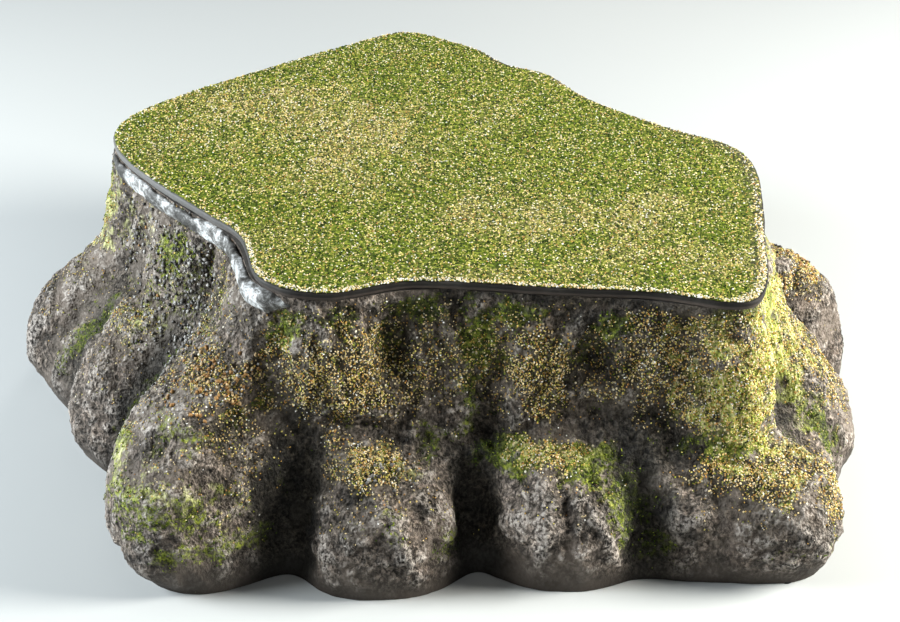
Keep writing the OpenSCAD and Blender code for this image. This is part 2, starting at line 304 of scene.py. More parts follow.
class Shader:
    """A material with one Principled shader and small helpers to wire its nodes."""

    def __init__(self, name, color, roughness, specular=0.4):
        self.material = bpy.data.materials.new(name)
        self.material.use_nodes = True
        self.tree = self.material.node_tree
        self.shader = self.tree.nodes["Principled BSDF"]
        self.set("Base Color", color)
        self.set("Roughness", roughness)
        self.set("Specular IOR Level", specular)

    def feed(self, socket, value):
        """Links a socket to another node's, or gives it a value; a colour gets its fourth number."""
        if isinstance(value, bpy.types.NodeSocket):
            self.tree.links.new(value, socket)
        elif socket.type == "RGBA" and len(value) == 3:
            socket.default_value = (*value, 1)
        else:
            socket.default_value = value

    def set(self, socket, value):
        self.feed(self.shader.inputs[socket], value)

    def node(self, kind, inputs=None, **settings):
        made = self.tree.nodes.new(kind)
        for key, value in settings.items():
            setattr(made, key, value)
        for key, value in (inputs or {}).items():
            self.feed(made.inputs[key], value)
        return made

    def place(self):
        return self.node("ShaderNodeTexCoord").outputs["Object"]

    def noise(self, scale, detail=4, roughness=0.6, distortion=0.0, squash=None):
        """Noise of so many waves per metre; squash below 1 on an axis draws it out along that axis."""
        place = self.place()
        if squash:
            place = self.node("ShaderNodeVectorMath", {0: place, 1: squash}, operation="MULTIPLY").outputs[0]
        inputs = {"Vector": place, "Scale": scale, "Detail": detail, "Roughness": roughness,
                  "Distortion": distortion}
        return self.node("ShaderNodeTexNoise", inputs).outputs["Fac"]

    def ramp(self, value, *stops):
        """Grey or coloured ramp: stops are (place, grey or colour)."""
        made = self.node("ShaderNodeValToRGB", {"Fac": value})
        ramp = made.color_ramp
        while len(ramp.elements) < len(stops):
            ramp.elements.new(0.5)
        for element, (place, colour) in zip(ramp.elements, stops):
            element.position = place
            element.color = (*colour, 1) if isinstance(colour, tuple) else (colour, colour, colour, 1)
        return made.outputs["Color"]

    def math(self, operation, a, b, clamp=False):
        return self.node("ShaderNodeMath", {0: a, 1: b}, operation=operation, use_clamp=clamp).outputs[0]

    def times(self, a, b, clamp=False):
        return self.math("MULTIPLY", a, b, clamp)

    def plus(self, a, b, clamp=False):
        return self.math("ADD", a, b, clamp)

    def minus(self, a, b):
        return self.math("SUBTRACT", a, b)

    def span(self, value, start, end):
        """0 where value is start, 1 where it is end, straight between."""
        inputs = {"Value": value, "From Min": start, "From Max": end}
        return self.node("ShaderNodeMapRange", inputs).outputs["Result"]

    def mix(self, factor, a, b, blend="MIX"):
        """a where factor is 0, b where it is 1; sockets 6, 7 and 2 are this node's colours."""
        inputs = {0: factor, 6: a, 7: b}
        return self.node("ShaderNodeMix", inputs, data_type="RGBA", blend_type=blend).outputs[2]

    def bump(self, *layers):
        """Bumps on top of each other: each layer is (height, strength, distance in metres)."""
        normal = None
        for height, strength, distance in layers:
            inputs = {"Height": height, "Strength": strength, "Distance": distance}
            if normal is not None:
                inputs["Normal"] = normal
            normal = self.node("ShaderNodeBump", inputs).outputs["Normal"]
        self.set("Normal", normal)


def channels(s, name):
    """The four parts of a colour attribute."""
    attribute = s.node("ShaderNodeAttribute", attribute_name=name)
    parts = s.node("ShaderNodeSeparateColor", {"Color": attribute.outputs["Color"]})
    return (*parts.outputs[:3], attribute.outputs["Alpha"])


def dusting(s, mask, scale, spread, sharpness, squash=None):
    """A soft mask broken up into dust by fine noise, and that noise."""
    grain = s.noise(scale, 4, 0.7, squash=squash)
    level = s.plus(s.minus(mask, 0.36), s.times(s.minus(grain, 0.5), spread))
    return s.times(level, sharpness, clamp=True), grain


def sprinkled(s, density, scale, colours):
    """Round grains: each cell shows one where density beats its own random number. Mask and colour."""
    cell = s.node("ShaderNodeTexVoronoi", {"Vector": s.place(), "Scale": scale})
    random = s.node("ShaderNodeSeparateColor", {"Color": cell.outputs["Color"]})
    shown = s.times(s.minus(density, random.outputs[0]), 8.0, clamp=True)
    shape = s.ramp(cell.outputs["Distance"], (0.30, 1.0), (0.50, 0.0))
    return s.times(shown, shape), s.ramp(random.outputs[1], *colours)


# Ramps of the grains drawn in the materials, on the rock and in the turf
SAND_COLOURS = (
    (0.0, (0.24, 0.12, 0.035)), (0.12, (0.4, 0.27, 0.08)), (0.4, (0.62, 0.47, 0.18)),
    (0.7, (0.78, 0.66, 0.4)), (0.95, (0.9, 0.85, 0.7)),
)
TURF_GRAIN_COLOURS = (
    (0.0, (0.3, 0.16, 0.05)), (0.2, (0.48, 0.42, 0.12)), (0.5, (0.64, 0.58, 0.24)),
    (0.75, (0.78, 0.7, 0.45)), (0.97, (0.92, 0.88, 0.74)),
)


def brushed_tone(s, crust, lumps, polished):
    """How pale the dry brush has left the rock: bumps pale, recesses dark, polished places even."""
    tone = s.ramp(crust, (0.36, 0.14), (0.5, 0.46), (0.62, 1.0))
    tone = s.mix(1.0, tone, s.ramp(lumps, (0.38, 0.55), (0.58, 1.0)), "MULTIPLY")
    tone = s.mix(1.0, tone, s.ramp(s.noise(48), (0.38, 0.36), (0.60, 1.15)), "MULTIPLY")
    return s.mix(polished, tone, (0.4, 0.4, 0.4))


def overgrown(s, rock, moss, lime):
    """The rock's colour under dust of moss and of lime-green growth."""
    moss_mask, grain = dusting(s, moss, 330, 1.9, 2.2)
    green = s.ramp(grain, (0.36, (0.012, 0.02, 0.003)), (0.5, (0.095, 0.12, 0.012)),
                   (0.63, (0.32, 0.36, 0.05)))
    rock = s.mix(s.times(moss_mask, 0.92), rock, green)
    lime_mask, grain = dusting(s, lime, 260, 1.6, 2.4, (1, 1, 0.35))
    yellow = s.ramp(grain, (0.34, (0.13, 0.165, 0.018)), (0.5, (0.39, 0.43, 0.08)),
                    (0.66, (0.72, 0.72, 0.36)))
    return s.mix(s.times(lime_mask, 0.9), rock, yellow)


def rock_material():
    """Dry-brushed rock: dark recesses, worn pale bumps, under sand, moss and lime-green dust, with a dark
    wash and painted shade in its hollows and under the plate's edge.
    """
    s = Shader("rock", (0.1, 0.09, 0.08), 0.85, 0.45)
    sand, moss, lime, worn = channels(s, "cover")
    # The first channel here is a dark wash together with painted shade and painted shadow; the second is the
    # foot band
    dark, band, _, _ = channels(s, "wash_and_shade")
    broad = s.noise(30, 5)
    crust = s.noise(540, 3, 0.6, 0.4, (1, 1, 0.7))
    lumps = s.noise(210, 3)
    polished = s.ramp(s.noise(27, 3, 0.5), (0.50, 0.0), (0.60, 0.75))
    rock = s.ramp(broad, (0.3, (0.3, 0.236, 0.19)), (0.5, (0.41, 0.338, 0.28)), (0.72, (0.52, 0.44, 0.375)))
    foot_tone = s.ramp(broad, (0.3, 0.13), (0.7, 0.20))
    rock = s.mix(1.0, rock, s.mix(band, foot_tone, brushed_tone(s, crust, lumps, polished)), "MULTIPLY")
    rock = s.mix(s.times(worn, s.ramp(crust, (0.4, 0.0), (0.6, 0.65))), rock, (0.56, 0.515, 0.47))
    rock = s.mix(s.times(sand, 0.95, clamp=True), rock, (0.046, 0.041, 0.018))
    rock = overgrown(s, rock, moss, lime)
    # Painted shade: the rock goes dark where the wash and shade mask is high, in hollows and under the
    # plate's edge
    rock = s.mix(s.times(dark, 0.9, clamp=True), rock, s.mix(1.0, rock, (0.16, 0.17, 0.15), "MULTIPLY"))
    grain_mask, grain_colour = sprinkled(s, s.times(sand, 0.70), 620, SAND_COLOURS)
    # The drawn grains fade in the painted shade too
    rock = s.mix(s.times(grain_mask, s.minus(1.0, s.times(dark, 0.6))), rock, grain_colour)
    s.set("Base Color", rock)
    s.set("Roughness", s.ramp(crust, (0.35, 0.85), (0.65, 0.58)))
    crusty = s.times(s.minus(1.0, s.times(polished, 0.8)), s.plus(s.times(band, 0.85), 0.15))
    s.bump((s.times(lumps, band), 1.0, 0.0038), (s.times(crust, crusty), 1.0, 0.0027),
           (grain_mask, 0.6, 0.0008))
    return s.material


def plain_material(name, flat_colour, flat_roughness, colour, roughness, *bumps):
    """Two tones: colour and roughness are (noise, low, high), and a bump is (noise, strength, distance)."""
    s = Shader(name, flat_colour, flat_roughness)
    for socket, (spots, low, high) in (("Base Color", colour), ("Roughness", roughness)):
        s.set(socket, s.ramp(s.noise(*spots), (0.3, low), (0.7, high)))
    s.bump(*((s.noise(*spots), strength, distance) for spots, strength, distance in bumps))
    return s.material


def bare_resin_material():
    return plain_material(
        "bare_resin", (0.1, 0.09, 0.08), 0.6, ((40,), (0.06, 0.056, 0.052), (0.125, 0.115, 0.105)),
        ((150, 3), 0.45, 0.7), ((260,), 0.6, 0.0015), ((30, 3, 0.5), 0.5, 0.006))


def rubber_material():
    return plain_material(
        "rubber_pad", (0.02, 0.02, 0.02), 0.8, ((300, 3), 0.016, 0.032),
        ((500, 3), 0.7, 0.9), ((1500, 2), 0.3, 0.0002))


def peg_material():
    return plain_material(
        "peg_resin", (0.2, 0.19, 0.18), 0.45, ((160,), (0.15, 0.145, 0.138), (0.23, 0.222, 0.212)),
        ((260, 3), 0.38, 0.55), ((700, 3), 0.25, 0.0003))


def turf_material():
    """Green flock with sand grains in it: paler and sandier in the drifts, worn dark at the rim."""
    s = Shader("sand_turf", (0.2, 0.24, 0.05), 0.9, 0.3)
    drift, bare, _, _ = channels(s, "cover")
    fine = s.noise(480, 3, 0.65)
    cloud = s.noise(22, 4, 0.6, 0.5)
    green = s.ramp(fine, (0.34, (0.022, 0.036, 0.003)), (0.5, (0.104, 0.138, 0.014)),
                   (0.64, (0.285, 0.33, 0.045)))
    brown = s.ramp(fine, (0.34, (0.04, 0.034, 0.012)), (0.5, (0.18, 0.155, 0.06)), (0.64, (0.42, 0.37, 0.17)))
    sandy = s.plus(s.times(drift, 0.62), s.times(s.minus(cloud, 0.5), 1.5), clamp=True)
    ground = s.mix(sandy, green, brown)
    ground = s.mix(s.times(bare, s.ramp(fine, (0.4, 0.95), (0.62, 0.5))), ground, (0.045, 0.04, 0.032))
    amount = s.plus(s.times(sandy, 0.30), 0.34)
    grain_mask, grain_colour = sprinkled(s, amount, 640, TURF_GRAIN_COLOURS)
    s.set("Base Color", s.mix(grain_mask, ground, grain_colour))
    s.set("Roughness", s.ramp(fine, (0.3, 0.8), (0.7, 0.95)))
    s.bump((fine, 0.7, 0.0012), (grain_mask, 0.6, 0.0007))
    return s.material


def plate_material():
    """Cast resin: nearly black along the lip at its top, brown below it, and a painted highlight that turns
    it grey towards the left, where the left lamp falls on it.
    """
    s = Shader("plate_resin", (0.05, 0.045, 0.04), 0.5, 0.3)
    broad = s.noise(34)
    place = s.node("ShaderNodeSeparateXYZ", {"Vector": s.place()}).outputs
    dark = s.ramp(broad, (0.3, (0.014, 0.012, 0.011)), (0.55, (0.027, 0.024, 0.021)),
                  (0.75, (0.06, 0.055, 0.05)))
    brown = s.ramp(broad, (0.3, (0.048, 0.038, 0.033)), (0.7, (0.105, 0.086, 0.076)))
    lip = s.span(place["Z"], 0.1510, 0.1520)
    # Painted highlight: pale grey mixed in towards the left side of the plate, where light falls on its edge
    left = s.span(place["X"], -0.07, -0.15)
    s.set("Base Color", s.mix(s.times(left, 0.8), s.mix(lip, brown, dark), (0.19, 0.188, 0.182)))
    s.set("Roughness", s.ramp(s.noise(90), (0.3, 0.5), (0.7, 0.7)))
    s.bump((s.noise(200), 0.45, 0.0012))
    return s.material


def bead_material():
    """Grey resin, drawn whiter on its swellings."""
    s = Shader("resin_bead", (0.6, 0.6, 0.58), 0.4, 0.5)
    white, _, _, _ = channels(s, "cover")
    blotch = s.noise(210, 5, 0.75, 0.4)
    level = s.plus(white, s.times(s.minus(blotch, 0.60), 3.2), clamp=True)
    s.set("Base Color", s.ramp(level, (0.05, (0.06, 0.058, 0.054)), (0.4, (0.2, 0.198, 0.19)),
                               (0.7, (0.52, 0.53, 0.53)), (0.95, (0.82, 0.85, 0.86))))
    s.set("Roughness", s.ramp(blotch, (0.3, 0.65), (0.6, 0.32)))
    s.bump((s.noise(380, 4, 0.65), 0.6, 0.0014))
    return s.material


# Families of grains; each kind is a material of its own, with its middle colour and roughness
KINDS = {
    "sand": {
        "grain_cream": ((0.76, 0.62, 0.36), 0.50),
        "grain_ochre": ((0.52, 0.33, 0.09), 0.55),
        "grain_white": ((0.88, 0.85, 0.76), 0.40),
        "grain_orange": ((0.5, 0.25, 0.075), 0.55),
        "grain_black": ((0.022, 0.02, 0.018), 0.45),
        "grain_olive": ((0.23, 0.26, 0.03), 0.80),
        "grain_yellow": ((0.62, 0.55, 0.16), 0.60),
    },
    "moss": {
        "moss_dark": ((0.02, 0.04, 0.005), 0.95),
        "moss_green": ((0.08, 0.14, 0.01), 0.95),
        "moss_bright": ((0.24, 0.3, 0.035), 0.95),
    },
    "stone": {
        "stone_dark": ((0.045, 0.042, 0.04), 0.50),
        "stone_grey": ((0.17, 0.162, 0.152), 0.50),
        "stone_pale": ((0.4, 0.39, 0.37), 0.45),
        "stone_brown": ((0.33, 0.19, 0.075), 0.55),
        "stone_tan": ((0.45, 0.33, 0.18), 0.55),
    },
}


def kind_materials(kinds):
    """A material for each kind, whose tone and roughness change from grain to grain."""
    made = []
    for name, (color, rough) in kinds.items():
        s = Shader(name, color, rough)
        tone = s.noise(620, 3, 0.7)
        low, high = (tuple(min(c * k, 0.95) for c in color) for k in (0.6, 1.25))
        s.set("Base Color", s.ramp(tone, (0.35, low), (0.65, high)))
        s.set("Roughness", s.ramp(tone, (0.35, min(rough + 0.1, 1.0)), (0.65, rough - 0.05)))
        made.append(s.material)
    return made


# ---------------------------------------------------------------- the ring's grid

def casting_spans():
    """The direction where each casting starts, read from its CAD node, then where the last one ends."""
    starts = []
    for name in CASTINGS:
        points = np.array([v.co[:2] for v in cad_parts[name].data.vertices])
        middle = math.degrees(math.atan2(*points.mean(axis=0)[::-1]))
        turns = turn_between(np.degrees(np.arctan2(points[:, 1], points[:, 0])), middle)
        starts.append((middle + turns.min(), middle + turns.max()))
    edges = []
    for (_, end), (start, _) in zip([starts[-1]] + starts[:-1], starts):
        edges.append(start + turn_between(end, start) / 2)
    for k in range(1, len(edges)):
        edges[k] = edges[k - 1] + turn_between(edges[k], edges[k - 1])
    return np.array(edges + [edges[0] + 360])


def tree_of(*names):
    """A BVH tree of some CAD nodes together."""
    points, triangles = [], []
    for name in names:
        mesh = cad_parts[name].data
        mesh.calc_loop_triangles()
        shift = len(points)
        points += [v.co.copy() for v in mesh.vertices]
        triangles += [[shift + i for i in t.vertices] for t in mesh.loop_triangles]
    return BVHTree.FromPolygons(points, triangles)


def wall_radius(tree, degrees, z, outer):
    """How far the wall is from the axis there, from outside or from inside, or None in an opening."""
    out = Vector((math.cos(math.radians(degrees)), math.sin(math.radians(degrees)), 0))
    far = 0.5
    if outer:
        hit = tree.ray_cast(out * far + Vector((0, 0, z)), -out, far)
    else:
        hit = tree.ray_cast(Vector((0, 0, z)), out, far)
    return hit[0].to_2d().length if hit[0] else None


def lump_relief(angles, z_mm):
    """Height of the lumps, in mm; hollows are below 0."""
    relief = np.zeros(z_mm.shape)
    for at, height, half_w, half_h, depth in LUMPS:
        off = np.hypot(turn_between(angles, at) / half_w, (z_mm - height) / half_h)
        relief += depth * (1 - smoothstep(off, 0, 1.5))
    return relief


def rib_relief(angles, z_mm):
    """Height of the ribs, in mm, measured off the line between a rib's two ends."""
    relief = np.zeros(z_mm.shape)
    for a0, z0, a1, z1, half_w, height in RIBS:
        along = np.array([turn_between(a1, a0) * MM_PER_DEGREE, z1 - z0])
        to = np.stack([turn_between(angles, a0) * MM_PER_DEGREE, z_mm - z0], axis=-1)
        t = np.clip(to @ along / (along @ along), 0, 1)
        off = np.linalg.norm(to - t[..., None] * along, axis=-1) / (half_w * MM_PER_DEGREE)
        relief += height * (1 - smoothstep(off, 0, 1.3)) * np.sin(np.pi * (0.15 + 0.7 * t))
    return relief


def weathering(points, band):
    """Broad swells, ridges, crust and pits, in mm; the crust is calmer on the smooth foot band."""
    broad = fractal(points * (1, 1, 0.55) * 34, 0.9) * 2.4
    ridged = sampled(points * (52, 52, 26) + (3, 1, 7),
                     lambda p: noise.ridged_multi_fractal(p, 0.9, 2.2, 3, 1.0, 2.0))
    rough = fractal(points * 120, 0.7, 2.2, 4) * 1.5
    crust = sampled(points * 300, noise.noise) * 0.7
    pits = sampled(points * 230, lambda p: noise.voronoi(p)[0][0])
    return broad + (ridged - 1.2) * 1.2 + (rough + crust - 1.0 * (0.45 - pits)) * (0.25 + 0.75 * band)


class Ring:
    """The ring's outer and inner faces as grids of points, with the relief of rock on the outer one."""

    def __init__(self):
        self.edges = casting_spans()
        spans = list(zip(self.edges, self.edges[1:]))
        counts = [round((b - a) / COLUMN_STEP) for a, b in spans]
        self.firsts = np.concatenate([[0], np.cumsum(counts)])
        self.angles = np.concatenate([np.linspace(*ab, n, endpoint=False) for ab, n in zip(spans, counts)])
        self.foot = min(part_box(name)[0][2] for name in CASTINGS)
        self.top = max(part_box(name)[1][2] for name in CASTINGS)
        self.read(tree_of(*CASTINGS))
        self.carve()

    def read(self, tree):
        """The castings' faces, sampled by rays that keep off the joints between two castings."""
        inset = 0.1
        spans = zip(self.firsts, self.firsts[1:], self.edges, self.edges[1:])
        probe = np.concatenate([np.clip(self.angles[i:j], a + inset, b - inset) for i, j, a, b in spans])
        arch = CASTINGS.index("cave_arch")
        self.low = np.full(len(probe), self.foot + MARGIN)
        for i in range(self.firsts[arch], self.firsts[arch + 1]):
            self.low[i] = self.opening_top(tree, probe[i])
        self.low = gaussian(self.low, 2.0, 0, True)
        self.outer = self.face(tree, probe, OUTER_ROWS, True)
        self.inner = self.face(tree, probe, INNER_ROWS, False)

    def opening_top(self, tree, degrees):
        """Height where the wall begins above the mouth, by halving, or the foot where there is no opening."""
        opened, closed = self.foot + MARGIN, self.top - MM
        if wall_radius(tree, degrees, opened, True) and wall_radius(tree, degrees, opened, False):
            return opened
        while closed - opened > 0.1 * MM:
            middle = (closed + opened) / 2
            if wall_radius(tree, degrees, middle, False):
                closed = middle
            else:
                opened = middle
        return closed

    def face(self, tree, probe, rows, outer):
        """One face as a grid of points; the blur takes away the castings' facets and sharp valleys."""
        heights = self.low + np.linspace(0, 1, rows)[:, None] * (self.top - MARGIN - self.low)
        radius = np.array([[wall_radius(tree, a, z, outer) or np.nan for a, z in zip(probe, row)]
                           for row in heights])
        for i in np.flatnonzero(np.isnan(radius).any(axis=0)):
            good = ~np.isnan(radius[:, i])
            radius[:, i] = np.interp(np.arange(rows), np.flatnonzero(good), radius[good, i])
        radius = blurred(radius, *(OUTER_BLUR if outer else INNER_BLUR))
        return polar(radius, self.angles, heights)

    def carve(self):
        """Lumps, ribs and weathering on the outer face, and the cover that lies on it."""
        angles = np.broadcast_to(self.angles, self.outer.shape[:2])
        z_mm = self.outer[..., 2] / MM
        shift = sampled(self.outer * 22, noise.noise) * 9
        sway = sampled(self.outer * (26, 26, 20) + (11, 4, 2), noise.noise) * 5
        band = smoothstep(z_mm + shift, 3, FOOT_BAND_MM)
        calm = 1 - smoothstep(z_mm, *RELIEF_TOP_MM)
        off_mouth = smoothstep(z_mm - self.low / MM, 0, 10)
        relief = lump_relief(angles + sway, z_mm + shift)
        relief += rib_relief(angles + sway * 0.5, z_mm + shift * 0.6)
        relief *= (0.4 + 0.6 * band) * (0.1 + 0.9 * calm) * off_mouth
        points = self.outer + grid_normals(self.outer) * (relief * MM)[..., None]
        weather = weathering(points, band) * (0.2 + 0.8 * calm) * (0.3 + 0.7 * off_mouth)
        points = points + grid_normals(points) * (weather * MM)[..., None]
        points[..., 2] = np.clip(points[..., 2], FOOT_Z, self.top)
        points[0, :, 2] = np.where(self.low < ON_GROUND, FOOT_Z, points[0, :, 2])
        points[-1, :, 2] = self.top
        self.outer = points
        self.normals = grid_normals(points)
        self.keep_thickness()
        self.dress(angles, z_mm, relief + weather, band, calm)

    def keep_thickness(self):
        """The inner face steps back wherever the relief has left the wall thinner than it may be."""
        outer_radius = np.hypot(self.outer[..., 0], self.outer[..., 1])
        neighbours = [np.roll(outer_radius, k, axis=1) for k in range(-8, 9, 2)]
        outer_radius = np.min(neighbours, axis=0)
        heights = np.maximum.accumulate(self.outer[..., 2], axis=0)
        for i in range(self.inner.shape[1]):
            inner = self.inner[:, i]
            limit = np.interp(inner[:, 2], heights[:, i], outer_radius[:, i]) - THINNEST_WALL
            radius = np.hypot(inner[:, 0], inner[:, 1])
            inner[:, :2] *= (np.minimum(radius, limit) / radius)[:, None]

    def dress(self, angles, z_mm, relief, band, calm):
        """The cover on the outer face, and the dark wash and painted shade in its hollows and under the
        plate's edge.
        """
        def dip(grid, columns, rows):
            return blurred(grid, columns, rows) - grid

        points = self.outer
        radius = np.hypot(points[..., 0], points[..., 1]) / MM
        valley = smoothstep(dip(radius, 20, 16), 1.0, 8.0) * (1 - 0.6 * smoothstep(z_mm, 60, 105))
        pocket = smoothstep(dip(relief, 9, 9), 0.8, 3.5)
        worn = smoothstep(-dip(relief, 4, 4), 0.1, 0.9) * (0.3 + 0.7 * band) * (1 - valley)
        wobble = fractal(points * 90 + 5, 0.8, 2.2) * 0.55

        def patched(table):
            return patches(table, angles, z_mm, wobble)

        loose = smoothstep(self.normals[..., 2] + wobble * 0.5, 0.5, 0.85) * 0.22
        upper = smoothstep(z_mm, 60, 120) * 0.10
        sand = np.maximum(patched(SAND), loose + upper) * band * (1 - 0.75 * valley) * (0.25 + 0.75 * calm)
        creased = pocket * smoothstep(z_mm + wobble * 40, 40, 100) * 0.55
        moss = np.maximum(patched(MOSS), creased) * band
        self.cover = np.stack([sand, moss, patched(LIME) * band, worn], axis=-1)
        # Dark wash and painted shade together: the shade that falls in broad valleys, small pockets and under
        # the plate's edge is painted into the colour
        dark = np.maximum(np.maximum(valley, 0.6 * pocket), patched(WASHES_AND_SHADE))
        self.wash_and_shade = np.stack([dark, band, 0 * dark, 0 * dark + 1], axis=-1)
        self.stones = (patched(NODULES), patched(GRAVEL))

    def columns(self, k):
        """Numbers of a casting's columns, the first column of the next casting included."""
        return np.arange(self.firsts[k], self.firsts[k + 1] + 1) % len(self.angles)


def shade(piece, normals, smooth_faces):
    """Smooth shading from vertex normals over the first faces, flat shading over the rest."""
    mesh = piece.data
    corners = np.empty(len(mesh.loops), np.int32)
    mesh.loops.foreach_get("vertex_index", corners)
    flat = np.empty(3 * len(mesh.polygons), np.float32)
    mesh.polygons.foreach_get("normal", flat)
    totals = np.empty(len(mesh.polygons), np.int32)
    mesh.polygons.foreach_get("loop_total", totals)
    is_flat = np.repeat(np.arange(len(totals)) >= smooth_faces, totals)
    chosen = np.where(is_flat[:, None], np.repeat(flat.reshape(-1, 3), totals, axis=0), normals[corners])
    mesh.normals_split_custom_set(chosen.tolist())


def casting_piece(ring, k, rock, resin):
    """A closed piece for one casting: its stretch of both faces, joined at the top, the foot and the ends."""
    columns = ring.columns(k)
    outer = ring.outer[:, columns]
    inner = ring.inner[:, columns]
    n = len(columns)
    points = np.concatenate([outer.reshape(-1, 3), inner.reshape(-1, 3)])
    out_id = np.arange(OUTER_ROWS * n).reshape(OUTER_ROWS, n)
    in_id = OUTER_ROWS * n + np.arange(INNER_ROWS * n).reshape(INNER_ROWS, n)

    skin = open_quads(out_id)
    back = open_quads(in_id)[:, ::-1]
    rims = [open_quads(np.array([out_id[-1], in_id[-1]])), open_quads(np.array([in_id[0], out_id[0]]))]
    t_out, t_in = np.linspace(0, 1, OUTER_ROWS), np.linspace(0, 1, INNER_ROWS)
    first = zipper(out_id[:, 0], in_id[:, 0], t_out, t_in)
    last = zipper(out_id[:, -1], in_id[:, -1], t_out, t_in)[:, ::-1]
    faces = [skin, back, np.concatenate(rims), first, last]
    indices = np.concatenate([np.zeros(len(skin)), np.ones(sum(len(f) for f in faces[1:]))])
    name = CASTINGS[k]
    piece = new_mesh(f"rock_{name}", points, faces, [rock, resin], indices)
    for layer_name, values in (("cover", ring.cover), ("wash_and_shade", ring.wash_and_shade)):
        colours = np.zeros((len(points), 4))
        colours[:OUTER_ROWS * n] = values[:, columns].reshape(-1, 4)
        paint(piece, layer_name, colours)
    normals = np.concatenate([ring.normals[:, columns].reshape(-1, 3),
                              -grid_normals(ring.inner)[:, columns].reshape(-1, 3)])
    shade(piece, normals, len(skin) + len(back))
    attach(piece, RING)
    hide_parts(name)


# ---------------------------------------------------------------- grains

# One stone: six corners, eight faces
STONE = np.array([(1, 0, 0), (-1, 0, 0), (0, 1, 0), (0, -1, 0), (0, 0, 1), (0, 0, -1)], float)
STONE_FACES = np.array([
    (0, 2, 4), (2, 1, 4), (1, 3, 4), (3, 0, 4), (2, 0, 5), (1, 2, 5), (3, 1, 5), (0, 3, 5),
])


def scatter(points, quads, density, count=0, per_m2=0):
    """Places on a grid of quads, count of them or per_m2 where densest: points and normals, None if few."""
    cross = quad_crosses(points, quads)
    area = np.linalg.norm(cross, axis=1) / 2
    weight = area * density[quads].mean(axis=1)
    count = count or int(per_m2 * weight.sum())
    if count < FEWEST_GRAINS:
        return None
    pick = RNG.choice(len(quads), count, p=weight / weight.sum())
    u, v = RNG.random((2, count, 1))
    c = points[quads[pick]]
    at = (1 - u) * (1 - v) * c[:, 0] + u * (1 - v) * c[:, 1] + u * v * c[:, 2] + (1 - u) * v * c[:, 3]
    return at, cross[pick] / (2 * area[pick, None] + 1e-12)


def grains_piece(name, at, normals, radius, stretch, materials, shares, body, smooth=False):
    """Small stones partly sunk into a surface, all in one piece, each with one of the materials."""
    count = len(at)
    tilt = normals + RNG.normal(0, 0.35, (count, 3))
    up = tilt / np.linalg.norm(tilt, axis=1, keepdims=True)
    side = np.cross(up, RNG.normal(0, 1, (count, 3)))
    side /= np.linalg.norm(side, axis=1, keepdims=True)
    ahead = np.cross(up, side)
    size = radius * RNG.uniform(0.65, 1.3, (count, 1, 1))
    shape = STONE * np.array(stretch) * (1 + RNG.uniform(-0.28, 0.28, (count, 6, 1)))
    axes = np.stack([side, ahead, up], axis=1)
    points = (at + normals * radius * 0.25)[:, None] + size * (shape @ axes)
    faces = STONE_FACES + 6 * np.arange(count)[:, None, None]
    kinds = RNG.choice(len(materials), count, p=np.array(shares) / sum(shares))
    piece = new_mesh(name, points.reshape(-1, 3), [faces.reshape(-1, 3)], materials,
                     np.repeat(kinds, len(STONE_FACES)), smooth=smooth)
    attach(piece, body)
    return piece


# A casting with fewer grains of a kind goes without
FEWEST_GRAINS = 20


def ring_cover(ring, grains):
    """Sand grains, moss flakes, nodules and gravel on every casting."""
    for k, name in enumerate(CASTINGS):
        columns = ring.columns(k)
        n = len(columns)
        points = ring.outer[:, columns].reshape(-1, 3)
        quads = open_quads(np.arange(OUTER_ROWS * n).reshape(OUTER_ROWS, n))
        sand, moss, lime, _ = ring.cover[:, columns].reshape(-1, 4).T
        nodules, gravel = (grid[:, columns].reshape(-1) for grid in ring.stones)
        # Name, density, grains per m2 where it is 1, radius in mm, proportions, materials and their shares
        kinds = (
            ("sand", sand ** 1.5, 1000000, 0.52, (1, 0.9, 0.75), "sand", (27, 22, 6, 4, 14, 10, 17)),
            ("moss", np.maximum(moss, 0.3 * lime) ** 1.5, 220000, 0.5, (1.5, 0.7, 0.6), "moss", (30, 40, 30)),
            ("nodules", nodules ** 1.2, 130000, 1.3, (1, 1, 0.7), "stone", (14, 52, 32, 1, 1)),
            ("gravel", gravel ** 1.2, 130000, 1.3, (1, 0.9, 0.8), "stone", (16, 8, 6, 45, 25)),
        )
        for kind, density, per_m2, radius_mm, stretch, family, shares in kinds:
            places = scatter(points, quads, density, per_m2=per_m2)
            if places:
                piece = grains_piece(f"{kind}_{name}", *places, radius_mm * MM, stretch, grains[family],
                                     shares, RING, smooth=family == "stone")


# ---------------------------------------------------------------- the lid

def outline(node, directions):
    """Radius of a CAD node's outer edge in each direction, from rays shot inwards at its middle height."""
    tree = tree_of(node)
    low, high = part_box(node)
    return np.array([wall_radius(tree, d, (low.z + high.z) / 2, True) for d in directions])


def disc(loops, name, material, body):
    """A closed piece from loops of points, the first and the last one closed by a fan to their middle."""
    count, n = loops.shape[:2]
    ids = np.arange(count * n).reshape(count, n)
    following = np.roll(ids, -1, axis=1)
    caps = np.concatenate([
        np.stack([following[0], ids[0], np.full(n, count * n)], axis=-1),
        np.stack([ids[-1], following[-1], np.full(n, count * n + 1)], axis=-1),
    ])
    points = np.concatenate([loops.reshape(-1, 3), [loops[0].mean(axis=0)], [loops[-1].mean(axis=0)]])
    piece = new_mesh(name, points, [closed_quads(ids), caps], [material])
    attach(piece, body)
    return piece


# Section of the plate's edge: mm beyond the outline, and share of the plate's height
EDGE_SECTION = (
    (-14, 0), (-1.4, 0), (-0.5, 0.3 / 4.5), (-0.1, 1.0 / 4.5), (0, 2.0 / 4.5), (0.1, 3.4 / 4.5),
    (-0.2, 4.2 / 4.5), (-0.8, 1), (-14, 1),
)


